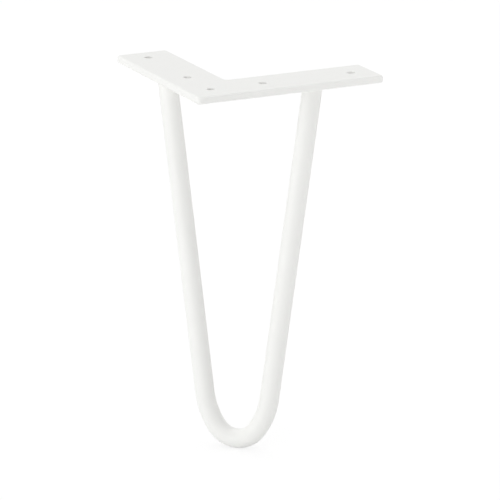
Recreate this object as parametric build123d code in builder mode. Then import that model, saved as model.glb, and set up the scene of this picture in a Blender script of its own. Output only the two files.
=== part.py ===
from build123d import *
from math import acos, atan2, cos, degrees, hypot, radians, sin
import os

# Hairpin furniture leg, in millimetres. The top of the plate is the mounting face, at z = 0, and the
# origin is the middle of the corner screw hole. One arm of the plate runs along +X and the other
# along +Y. The bar hangs below the plate, down to the floor at z = -leg_height.

# Mounting plate: the insets of holes and bar ends are from the outer edges and from each arm's tip
arm_length = 103.0
arm_width = 28.0
plate_thickness = 4.0
tip_corner_radius = 1.5
elbow_corner_radius = 2.0
crotch_radius = 2.0
edge_round = 1.2

# Screw holes: one at the corner, two along each arm
screw_hole_diameter = 4.2
corner_hole_inset = 13.0
middle_hole_pitch = 28.5
end_hole_inset = 12.0
rim_chamfer = 0.2

# Bent bar: the foot is bent round a former, and eases into the straight legs over wider shoulders
leg_height = 200.0
bar_diameter = 10.0
bar_end_inset = 33.0
foot_inset = 35.5
foot_former_radius = 8.5
shoulder_radius = 39.0
shoulder_turn = 28.0

# Welds between the bar's ends and the plate
weld_leg = 2.5
weld_bulge = 0.4
weld_toe = 0.2

# Sizes that follow from those above
bar_radius = bar_diameter / 2
foot_bend_radius = foot_former_radius + bar_radius
outer_edge = -corner_hole_inset
inner_edge = arm_width - corner_hole_inset
arm_tip = arm_length - corner_hole_inset
arm_middle = (outer_edge + inner_edge) / 2
end_hole_pitch = arm_tip - end_hole_inset
bar_end_pitch = arm_tip - bar_end_inset
foot_pitch = foot_inset - corner_hole_inset
underside = Plane.XY.offset(-plate_thickness)

os.makedirs("parts", exist_ok=True)

# The plate: a flat L with two equal arms, its corners and edges rounded, and five plain round holes
with BuildPart() as mounting_plate:
    with BuildSketch(underside):
        with BuildLine():
            Polyline(
                (outer_edge, outer_edge),
                (arm_tip, outer_edge),
                (arm_tip, inner_edge),
                (inner_edge, inner_edge),
                (inner_edge, arm_tip),
                (outer_edge, arm_tip),
                close=True,
            )
        make_face()
        fillet(vertices().group_by(Axis.X)[-1] + vertices().group_by(Axis.Y)[-1], tip_corner_radius)
        fillet(vertices().sort_by_distance((outer_edge, outer_edge))[0], elbow_corner_radius)
        fillet(vertices().sort_by_distance((inner_edge, inner_edge))[0], crotch_radius)
    extrude(amount=plate_thickness)
    rims = edges().group_by(Axis.Z)
    fillet(rims[0] + rims[-1], edge_round)
    along_arm = (middle_hole_pitch, end_hole_pitch)
    with Locations((0, 0), *[(x, 0) for x in along_arm], *[(0, y) for y in along_arm]):
        Hole(screw_hole_diameter / 2)
    chamfer(edges(Select.LAST).filter_by(GeomType.CIRCLE), rim_chamfer)
mounting_plate.part.label = "mounting_plate"
export_step(mounting_plate.part, "parts/mounting_plate.step")

# The bar lies in one leaning plane. It holds the middles of both bar ends, on the plate's underside,
# and the middle of the bar at the lowest point of the foot. Local y points up the plane.
end_x = Vector(bar_end_pitch, arm_middle, -plate_thickness)
end_y = Vector(arm_middle, bar_end_pitch, -plate_thickness)
foot = Vector(foot_pitch, foot_pitch, bar_radius - leg_height)
between_ends = (end_x + end_y) / 2
bend_plane = Plane(between_ends, x_dir=end_x - end_y, z_dir=(end_x - end_y).cross(between_ends - foot))

# Each straight leg passes its bar end and is tangent to its shoulder, which is tangent to the foot
# bend. legs_offset is how far the line of a leg passes from the middle of the foot bend.
half_spread = (end_x - end_y).length / 2
bend_drop = (between_ends - foot).length - foot_bend_radius
legs_offset = shoulder_radius - (shoulder_radius - foot_bend_radius) * cos(radians(shoulder_turn))
lean = acos(legs_offset / hypot(half_spread, bend_drop)) - atan2(bend_drop, half_spread)
foot_start = degrees(lean) + shoulder_turn
past_end = (half_spread + bar_diameter * sin(lean), bar_diameter * cos(lean))

# The bar: one round bar swept along the bend, its ends cut flat against the plate's underside
with BuildPart() as hairpin_rod:
    with BuildLine(bend_plane) as middle_line:
        foot_bend = CenterArc((0, -bend_drop), foot_bend_radius, 180 + foot_start, 180 - 2 * foot_start)
        shoulder_x = JernArc(foot_bend @ 1, foot_bend % 1, shoulder_radius, shoulder_turn)
        leg_x = Line(shoulder_x @ 1, past_end)
        shoulder_y = JernArc(foot_bend @ 0, -(foot_bend % 0), shoulder_radius, -shoulder_turn)
        leg_y = Line(shoulder_y @ 1, (-past_end[0], past_end[1]))
    with BuildSketch(Plane(leg_x @ 1, z_dir=leg_x % 1)):
        Circle(bar_radius)
    sweep(path=middle_line.line)
    split(bisect_by=underside, keep=Keep.BOTTOM)
hairpin_rod.part.label = "hairpin_rod"
export_step(hairpin_rod.part, "parts/hairpin_rod.step")

# The welds: a slightly bulging fillet weld all round each end of the bar, from its toe on the bar up
# to the plate. A flat cut through the leaning bar is an ellipse, longer along the lean by slant.
weld_steps = ((0, weld_leg), (weld_leg / 2, weld_leg / 2 + weld_bulge), (weld_leg, weld_toe))
for name, end, leg in (("weld_bead_x_arm", end_x, leg_x), ("weld_bead_y_arm", end_y, leg_y)):
    up_leg = leg % 1
    slant = 1 / up_leg.Z
    with BuildPart() as weld_bead:
        for depth, width in weld_steps:
            on_bar = end - up_leg * (depth * slant)
            with BuildSketch(Plane(on_bar, x_dir=(up_leg.X, up_leg.Y, 0), z_dir=(0, 0, 1))):
                Ellipse(bar_radius * slant + width, bar_radius + width)
        loft(ruled=True)
        add(hairpin_rod.part, mode=Mode.SUBTRACT)
    weld_bead.part.label = name
    export_step(weld_bead.part, f"parts/{name}.step")
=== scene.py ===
import bpy
import numpy as np
from math import acos, atan2, cos, hypot, radians, sin
from mathutils import Matrix, Vector


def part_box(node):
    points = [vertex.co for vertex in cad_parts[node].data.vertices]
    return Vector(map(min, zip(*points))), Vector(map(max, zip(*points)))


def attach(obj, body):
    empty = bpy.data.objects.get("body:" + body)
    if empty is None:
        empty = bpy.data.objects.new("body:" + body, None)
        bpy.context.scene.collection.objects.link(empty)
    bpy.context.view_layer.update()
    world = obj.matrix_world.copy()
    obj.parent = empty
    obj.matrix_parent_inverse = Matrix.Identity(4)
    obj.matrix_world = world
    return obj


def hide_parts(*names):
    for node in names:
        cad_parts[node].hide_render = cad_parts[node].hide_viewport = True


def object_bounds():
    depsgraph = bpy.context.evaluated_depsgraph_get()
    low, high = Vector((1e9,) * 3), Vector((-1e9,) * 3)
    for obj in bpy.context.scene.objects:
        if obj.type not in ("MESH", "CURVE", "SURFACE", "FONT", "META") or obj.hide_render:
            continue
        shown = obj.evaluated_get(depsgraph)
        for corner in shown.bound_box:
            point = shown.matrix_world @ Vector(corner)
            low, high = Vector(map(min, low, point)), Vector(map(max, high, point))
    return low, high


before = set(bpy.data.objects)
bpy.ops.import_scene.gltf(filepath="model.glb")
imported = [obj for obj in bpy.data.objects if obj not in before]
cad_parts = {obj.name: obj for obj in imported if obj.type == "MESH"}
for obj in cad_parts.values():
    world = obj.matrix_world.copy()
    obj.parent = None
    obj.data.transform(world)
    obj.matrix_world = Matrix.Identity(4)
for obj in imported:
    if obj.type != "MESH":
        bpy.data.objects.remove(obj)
cad_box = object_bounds()

# Mounting plate: a flat L cut from 4 mm steel strip, edges rounded, with five plain screw holes. The
# whole welded leg is sprayed with one white satin polyester powder and baked, so the film is a little
# wavy like orange skin, has a fine grain, and drifts very slightly in shade.
coat_light = (0.860, 0.861, 0.841, 1.0)
coat_deep = (0.843, 0.844, 0.824, 1.0)
coat_smoothest = 0.36
coat_roughest = 0.46
drift_size = 0.016
drift_detail = 3.0
peel_detail = 1.5
grain_size = 0.0003
grain_detail = 2.0
grain_height = 0.000005
plate_peel_size = 0.0017
plate_peel_height = 0.00005


def noise(tree, coordinates, size, detail):
    """A noise whose bumps are about size metres across, read at the given coordinates."""
    texture = tree.nodes.new("ShaderNodeTexNoise")
    texture.inputs["Scale"].default_value = 1 / size
    texture.inputs["Detail"].default_value = detail
    tree.links.new(coordinates, texture.inputs["Vector"])
    return texture.outputs["Fac"]


def relief(tree, height, depth, below=None):
    """A surface raised by depth metres times height, laid over the relief below it."""
    bump = tree.nodes.new("ShaderNodeBump")
    bump.inputs["Distance"].default_value = depth
    tree.links.new(height, bump.inputs["Height"])
    if below:
        tree.links.new(below, bump.inputs["Normal"])
    return bump.outputs["Normal"]


def powder_coat(name, peel_size, peel_height):
    """White satin powder coat: slow drift of shade, orange peel that also breaks up the gloss, fine grain."""
    material = bpy.data.materials.new(name)
    material.use_nodes = True
    tree = material.node_tree
    coat = tree.nodes["Principled BSDF"]
    coordinates = tree.nodes.new("ShaderNodeTexCoord").outputs["Object"]
    shade = tree.nodes.new("ShaderNodeMix")
    shade.data_type = "RGBA"
    shade.inputs["A"].default_value = coat_deep
    shade.inputs["B"].default_value = coat_light
    drift = noise(tree, coordinates, drift_size, drift_detail)
    tree.links.new(drift, shade.inputs["Factor"])
    tree.links.new(shade.outputs["Result"], coat.inputs["Base Color"])
    peel = noise(tree, coordinates, peel_size, peel_detail)
    gloss = tree.nodes.new("ShaderNodeMapRange")
    gloss.inputs["To Min"].default_value = coat_smoothest
    gloss.inputs["To Max"].default_value = coat_roughest
    tree.links.new(peel, gloss.inputs["Value"])
    tree.links.new(gloss.outputs["Result"], coat.inputs["Roughness"])
    waves = relief(tree, peel, peel_height)
    grain = noise(tree, coordinates, grain_size, grain_detail)
    tree.links.new(relief(tree, grain, grain_height, waves), coat.inputs["Normal"])
    return material


plate_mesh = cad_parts["mounting_plate"].data
plate_mesh.materials.clear()
plate_mesh.materials.append(powder_coat("plate_coat", plate_peel_size, plate_peel_height))

# Hairpin bar: one 10 mm round steel bar, bent cold round a former at the foot, so that a tight bend
# eases into the straight legs over two wide shoulders. Both ends butt against the plate from below.
# Its radius here includes the 0.1 mm film of powder.
bar_radius = 0.0051
foot_bend_radius = 0.0135
shoulder_radius = 0.039
shoulder_turn = radians(28)
bar_end_along = 0.057
bar_end_across = 0.001
foot_inset = 0.0225
bar_peel_size = 0.0014
bar_peel_height = 0.00005
steps_along_stretch = 48
steps_around_bar = 96
sharp_edge_angle = radians(50)
bar_low, bar_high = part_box("hairpin_rod")

# The bar lies in one leaning plane, which holds the middles of both ends and of the foot. lean is how
# far each leg leans out in it, and legs_offset how far a leg's line passes from the foot bend's middle.
end_x = np.array([bar_end_along, bar_end_across, bar_high.z])
end_y = np.array([bar_end_across, bar_end_along, bar_high.z])
foot = np.array([foot_inset, foot_inset, bar_low.z + bar_radius])
between_ends = (end_x + end_y) / 2
half_spread = np.linalg.norm(end_x - end_y) / 2
across_plane = (end_x - end_y) / (2 * half_spread)
up_plane = (between_ends - foot) / np.linalg.norm(between_ends - foot)
plane_normal = np.cross(across_plane, up_plane)
bend_drop = np.linalg.norm(between_ends - foot) - foot_bend_radius
legs_offset = shoulder_radius - (shoulder_radius - foot_bend_radius) * cos(shoulder_turn)
lean = acos(legs_offset / hypot(half_spread, bend_drop)) - atan2(bend_drop, half_spread)


def surface(name, points, closed_across=True, lids=False):
    """A smooth mesh over a grid of points, rows by columns by three, closed along its columns.

    Rows join up too if closed_across is set; otherwise lids fills the first and the last row with a fan.
    """
    rows, columns = points.shape[:2]
    index = np.arange(rows * columns).reshape(rows, columns)
    if closed_across:
        index = np.vstack([index, index[:1]])
    index = np.hstack([index, index[:, :1]])
    corner_of_face = [index[:-1, :-1], index[:-1, 1:], index[1:, 1:], index[1:, :-1]]
    faces = np.stack(corner_of_face, axis=-1).reshape(-1, 4).tolist()
    corners = points.reshape(-1, 3)
    if lids:
        middle = len(corners)
        corners = np.vstack([corners, points[0].mean(axis=0), points[-1].mean(axis=0)])
        first, last = index[0], index[-1]
        faces += [[middle, b, a] for a, b in zip(first[:-1].tolist(), first[1:].tolist())]
        faces += [[middle + 1, a, b] for a, b in zip(last[:-1].tolist(), last[1:].tolist())]
    mesh = bpy.data.meshes.new(name)
    mesh.from_pydata(corners.tolist(), [], faces)
    mesh.shade_smooth()
    mesh.set_sharp_from_angle(angle=sharp_edge_angle)
    piece = bpy.data.objects.new(name, mesh)
    bpy.context.scene.collection.objects.link(piece)
    return piece


def bar_middle_line(steps):
    """Places and headings along the bar's middle line in its own leaning plane, from leg to leg.

    The heading grows evenly with length on an arc and is constant on a straight leg, so each step
    is a chord along the mean of its two headings. The half from the foot up the first leg is worked
    out, and the other half is its mirror image.
    """
    leg_heading = radians(90) - lean
    foot_turn = leg_heading - shoulder_turn
    foot_length = foot_bend_radius * foot_turn
    shoulder_length = shoulder_radius * shoulder_turn
    shoulder_rise = foot_bend_radius * (1 - cos(foot_turn))
    shoulder_rise += shoulder_radius * (cos(foot_turn) - cos(leg_heading))
    leg_length = (bend_drop + foot_bend_radius - shoulder_rise) / sin(leg_heading)
    joints = np.cumsum([0, foot_length, shoulder_length, leg_length])
    stretches = [np.linspace(start, stop, steps + 1)[:-1] for start, stop in zip(joints[:-1], joints[1:])]
    length = np.concatenate(stretches + [joints[-1:]])
    heading = np.interp(length, joints, [0, foot_turn, leg_heading, leg_heading])
    turn, mean = np.diff(heading), (heading[1:] + heading[:-1]) / 2
    chord = np.diff(length) * np.sinc(turn / (2 * np.pi))
    x = np.concatenate([[0], np.cumsum(chord * np.cos(mean))])
    y = np.concatenate([[0], np.cumsum(chord * np.sin(mean))]) - bend_drop - foot_bend_radius
    mirrored = ((x, -1), (y, 1), (heading, -1))
    return [np.concatenate([sign * half[:0:-1], half]) for half, sign in mirrored]


# Each ring lies square to the middle line. The two end rings are slid along their legs until every
# point of them is level with the plate's underside, which gives the flat cut.
x, y, heading = bar_middle_line(steps_along_stretch)
middle = between_ends + x[:, None] * across_plane + y[:, None] * up_plane
inward = -np.sin(heading)[:, None] * across_plane + np.cos(heading)[:, None] * up_plane
angle = np.linspace(0, 2 * np.pi, steps_around_bar, endpoint=False)
ring = np.cos(angle)[None, :, None] * inward[:, None] + np.sin(angle)[None, :, None] * plane_normal
bar_points = middle[:, None] + bar_radius * ring
for row, side in ((0, -1), (-1, 1)):
    up_leg = side * sin(lean) * across_plane + cos(lean) * up_plane
    bar_points[row] += ((bar_high.z - bar_points[row, :, 2]) / up_leg[2])[:, None] * up_leg
hairpin_bar = surface("hairpin_bar", bar_points, closed_across=False, lids=True)
hairpin_bar.data.materials.append(powder_coat("bar_coat", bar_peel_size, bar_peel_height))
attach(hairpin_bar, "root")
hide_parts("hairpin_rod")

# Weld beads: one fillet of weld metal all round each end of the bar, laid in short overlapping pools
# that leave crescent ripples, a little uneven, with the run's end over its start, all under the coat.
# Each wave of the weave has its count round the bar, its start and its share of the bead's leg.
bead_leg = 0.0028
bead_toe_curve = 1.35
bead_crown = 0.00045
bead_sink = 0.00003
bead_root = 0.0003
pools = 34
pool_height = 0.00016
pool_trail = 7.5
pool_blend = 0.12
weave = ((2, 0.9, 0.06), (3, 2.2, 0.05), (7, 0.4, 0.03))
stop_angle = 2.4
stop_width = 0.22
stop_height = 0.00035
bead_peel_size = 0.0011
bead_peel_height = 0.00004
steps_around_bead = 640
points_across_bead = 25


def weld_bead(name, end, side):
    """A ring round the slanted end of the bar. Across, it runs from a toe on the bar to one on the plate.

    Height below the plate and width off the bar are powers of the way across, so each toe lies flat
    on its metal; the crown, the ripples and the stop add a hump that fades out at both toes. The root,
    inside the bar, closes the ring. A level cut through the leaning bar is an ellipse, longer along
    the lean.
    """
    up_leg = side * sin(lean) * across_plane + cos(lean) * up_plane
    slant = 1 / up_leg[2]
    lean_way = np.array([up_leg[0], up_leg[1], 0]) / hypot(up_leg[0], up_leg[1])
    cross_way = np.cross([0, 0, 1], lean_way)
    turn = np.linspace(0, 2 * np.pi, steps_around_bead, endpoint=False)[:, None]
    way = np.linspace(0, 1, points_across_bead)[None, :]
    leg = bead_leg * (1 + sum(share * np.sin(count * turn + start) for count, start, share in weave))
    trail = pool_trail * (1 - (2 * way - 1) ** 2)
    pool = np.sqrt(np.sin((pools * turn + trail) / 2) ** 2 + pool_blend)
    past_stop = (turn - stop_angle + np.pi) % (2 * np.pi) - np.pi
    stop = stop_height * np.exp(-((past_stop / stop_width) ** 2))
    hump = (bead_crown + pool_height * (pool - 1) + stop) * np.sin(np.pi * way) ** 2
    width = leg * way**bead_toe_curve + hump - bead_sink
    depth = leg * (1 - way) ** bead_toe_curve + hump
    width = np.hstack([width, np.full_like(turn, -bead_root)])
    depth = np.hstack([depth, np.zeros_like(turn)])
    centre = end - (depth * slant)[..., None] * up_leg
    out_along = ((bar_radius * slant + width) * np.cos(turn))[..., None] * lean_way
    out_across = ((bar_radius + width) * np.sin(turn))[..., None] * cross_way
    points = centre + out_along + out_across
    return surface(name, points.transpose(1, 0, 2))


for node, name, end, side in (
    ("weld_bead_x_arm", "weld_x_arm", end_x, 1),
    ("weld_bead_y_arm", "weld_y_arm", end_y, -1),
):
    bead = weld_bead(name, end, side)
    bead.data.materials.append(powder_coat(name + "_coat", bead_peel_size, bead_peel_height))
    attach(bead, "root")
    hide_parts(node)

# Floor: a wide pale sheet that the foot just touches. The camera sees it white where light falls on
# it in full and softly greyed where the leg shades it; from below it can be looked through.
white = (1, 1, 1, 1)
floor_half = 4.0
floor_pale = (0.9, 0.9, 0.9, 1)
floor_seen = (0.2, 0.2, 0.2, 1)
floor_glow = 0.812
floor_height = cad_box[0][2]


def seen_directly(tree):
    """One for the rays that show a thing to the camera, and nought for those that carry its light.

    The camera also sees by a mirror or through glass, so those rays count as one too.
    """
    rays = tree.nodes.new("ShaderNodeLightPath")
    seen = rays.outputs["Is Camera Ray"]
    for kind in ("Is Glossy Ray", "Is Transmission Ray"):
        either = tree.nodes.new("ShaderNodeMath")
        either.operation = "MAXIMUM"
        tree.links.new(seen, either.inputs[0])
        tree.links.new(rays.outputs[kind], either.inputs[1])
        seen = either.outputs[0]
    return seen


floor_mesh = bpy.data.meshes.new("floor")
floor_corners = np.array([(-1, -1, 0), (1, -1, 0), (1, 1, 0), (-1, 1, 0)]) * floor_half
floor_corners[:, 2] = floor_height
floor_mesh.from_pydata(floor_corners.tolist(), [], [(0, 1, 2, 3)])
floor = bpy.data.objects.new("floor", floor_mesh)
bpy.context.scene.collection.objects.link(floor)
floor_material = bpy.data.materials.new("pale_floor")
floor_material.use_nodes = True
tree = floor_material.node_tree
tree.nodes.clear()
facing = tree.nodes.new("ShaderNodeNewGeometry")
pale = tree.nodes.new("ShaderNodeBsdfDiffuse")
pale.inputs["Color"].default_value = floor_pale
shaded = tree.nodes.new("ShaderNodeBsdfDiffuse")
shaded.inputs["Color"].default_value = floor_seen
glow = tree.nodes.new("ShaderNodeEmission")
glow.inputs["Strength"].default_value = floor_glow
shaded_and_glow = tree.nodes.new("ShaderNodeAddShader")
tree.links.new(shaded.outputs[0], shaded_and_glow.inputs[0])
tree.links.new(glow.outputs[0], shaded_and_glow.inputs[1])
from_above = tree.nodes.new("ShaderNodeMixShader")
tree.links.new(seen_directly(tree), from_above.inputs["Fac"])
tree.links.new(pale.outputs[0], from_above.inputs[1])
tree.links.new(shaded_and_glow.outputs[0], from_above.inputs[2])
from_below = tree.nodes.new("ShaderNodeBsdfTransparent")
both_sides = tree.nodes.new("ShaderNodeMixShader")
tree.links.new(facing.outputs["Backfacing"], both_sides.inputs["Fac"])
tree.links.new(from_above.outputs[0], both_sides.inputs[1])
tree.links.new(from_below.outputs[0], both_sides.inputs[2])
output = tree.nodes.new("ShaderNodeOutputMaterial")
tree.links.new(both_sides.outputs[0], output.inputs["Surface"])
floor_mesh.materials.append(floor_material)

# Camera: a long lens a little above the plate, at the photograph's angle and tilted very slightly. It
# looks at view_aim from view_distance away; back points from there to the camera.
view_azimuth = radians(-24.92)
view_elevation = radians(16.54)
view_roll = radians(-0.5)
view_distance = 1.687
view_aim = Vector((0.0328, 0.0261, -0.0947))
view_lens = 235.3
nearest_seen = 0.05
farthest_seen = 50
level = Vector((cos(view_azimuth), sin(view_azimuth), 0))
level_back = Vector((sin(view_azimuth), -cos(view_azimuth), 0))
back = level_back * cos(view_elevation) + Vector((0, 0, sin(view_elevation)))
upward = back.cross(level)
right = level * cos(view_roll) + upward * sin(view_roll)
up = upward * cos(view_roll) - level * sin(view_roll)
camera = bpy.data.objects.new("camera", bpy.data.cameras.new("camera"))
camera.data.lens = view_lens
camera.data.clip_start = nearest_seen
camera.data.clip_end = farthest_seen
turned = Matrix((right, up, back)).transposed().to_4x4()
camera.matrix_world = Matrix.Translation(view_aim + back * view_distance) @ turned
bpy.context.scene.collection.objects.link(camera)
bpy.context.scene.camera = camera

# Light: a white studio. The walls and the floor send back a pale light from everywhere. On top of it
# come round soft boxes far off: overhead, two at the camera's left, one at its right and a weak one
# behind. Three low strip boxes stand on the floor near the leg and light it up to its welds.
room_light = 0.165
# Each soft box has its name, its turn and height in degrees, its power and how tight its glow is.
soft_boxes = (
    ("overhead", 0, 90, 1.49, 3),
    ("left", -60, 5, 1.4, 10),
    ("left_front", -30, 5, 1.88, 10),
    ("right", 90, 0, 0.7, 10),
    ("behind", 180, 40, 0.75, 6),
)
# Each strip box has its name, its turn in degrees and its power.
strip_boxes = (("left_strip", -80, 0.5), ("left_front_strip", -50, 1.4), ("right_strip", 80, 2.5))
strip_width = 0.5
strip_height = 0.18
strip_distance = 0.7
leg_middle = Vector((0.03, 0.03, -0.105))


def way_to(turn, height):
    """The way to a light, turned from the camera's side towards its right and raised, in degrees."""
    level_way = sin(radians(turn)) * level + cos(radians(turn)) * level_back
    return level_way * cos(radians(height)) + Vector((0, 0, sin(radians(height))))


world = bpy.data.worlds.new("studio")
world.use_nodes = True
bpy.context.scene.world = world
tree = world.node_tree
tree.nodes.clear()
way = tree.nodes.new("ShaderNodeTexCoord").outputs["Generated"]
strength = tree.nodes.new("ShaderNodeMath")
strength.inputs[0].default_value = room_light
strength.inputs[1].default_value = 0
for name, turn, height, power, tightness in soft_boxes:
    towards = tree.nodes.new("ShaderNodeVectorMath")
    towards.operation = "DOT_PRODUCT"
    towards.inputs[1].default_value = way_to(turn, height)
    tree.links.new(way, towards.inputs[0])
    ahead = tree.nodes.new("ShaderNodeMath")
    ahead.operation = "MAXIMUM"
    ahead.inputs[1].default_value = 0
    tree.links.new(towards.outputs["Value"], ahead.inputs[0])
    fade = tree.nodes.new("ShaderNodeMath")
    fade.operation = "POWER"
    fade.inputs[1].default_value = tightness
    tree.links.new(ahead.outputs[0], fade.inputs[0])
    with_box = tree.nodes.new("ShaderNodeMath")
    with_box.name = name
    with_box.operation = "MULTIPLY_ADD"
    with_box.inputs[1].default_value = power
    tree.links.new(fade.outputs[0], with_box.inputs[0])
    tree.links.new(strength.outputs[0], with_box.inputs[2])
    strength = with_box
studio = tree.nodes.new("ShaderNodeBackground")
studio.inputs["Color"].default_value = white
tree.links.new(strength.outputs[0], studio.inputs["Strength"])
backdrop = tree.nodes.new("ShaderNodeBackground")
backdrop.inputs["Color"].default_value = white
shown = tree.nodes.new("ShaderNodeMixShader")
tree.links.new(seen_directly(tree), shown.inputs["Fac"])
tree.links.new(studio.outputs[0], shown.inputs[1])
tree.links.new(backdrop.outputs[0], shown.inputs[2])
output = tree.nodes.new("ShaderNodeOutputWorld")
tree.links.new(shown.outputs[0], output.inputs["Surface"])
for name, turn, power in strip_boxes:
    strip = bpy.data.objects.new(name, bpy.data.lights.new(name, "AREA"))
    strip.data.shape = "RECTANGLE"
    strip.data.size = strip_width
    strip.data.size_y = strip_height
    strip.data.energy = power * np.pi * strip_width * strip_height
    strip_way = way_to(turn, 0)
    turned = strip_way.to_track_quat("Z", "Y").to_matrix().to_4x4()
    strip.matrix_world = Matrix.Translation(leg_middle + strip_way * strip_distance) @ turned
    strip.visible_camera = False
    bpy.context.scene.collection.objects.link(strip)
bpy.context.scene.view_settings.view_transform = "Standard"
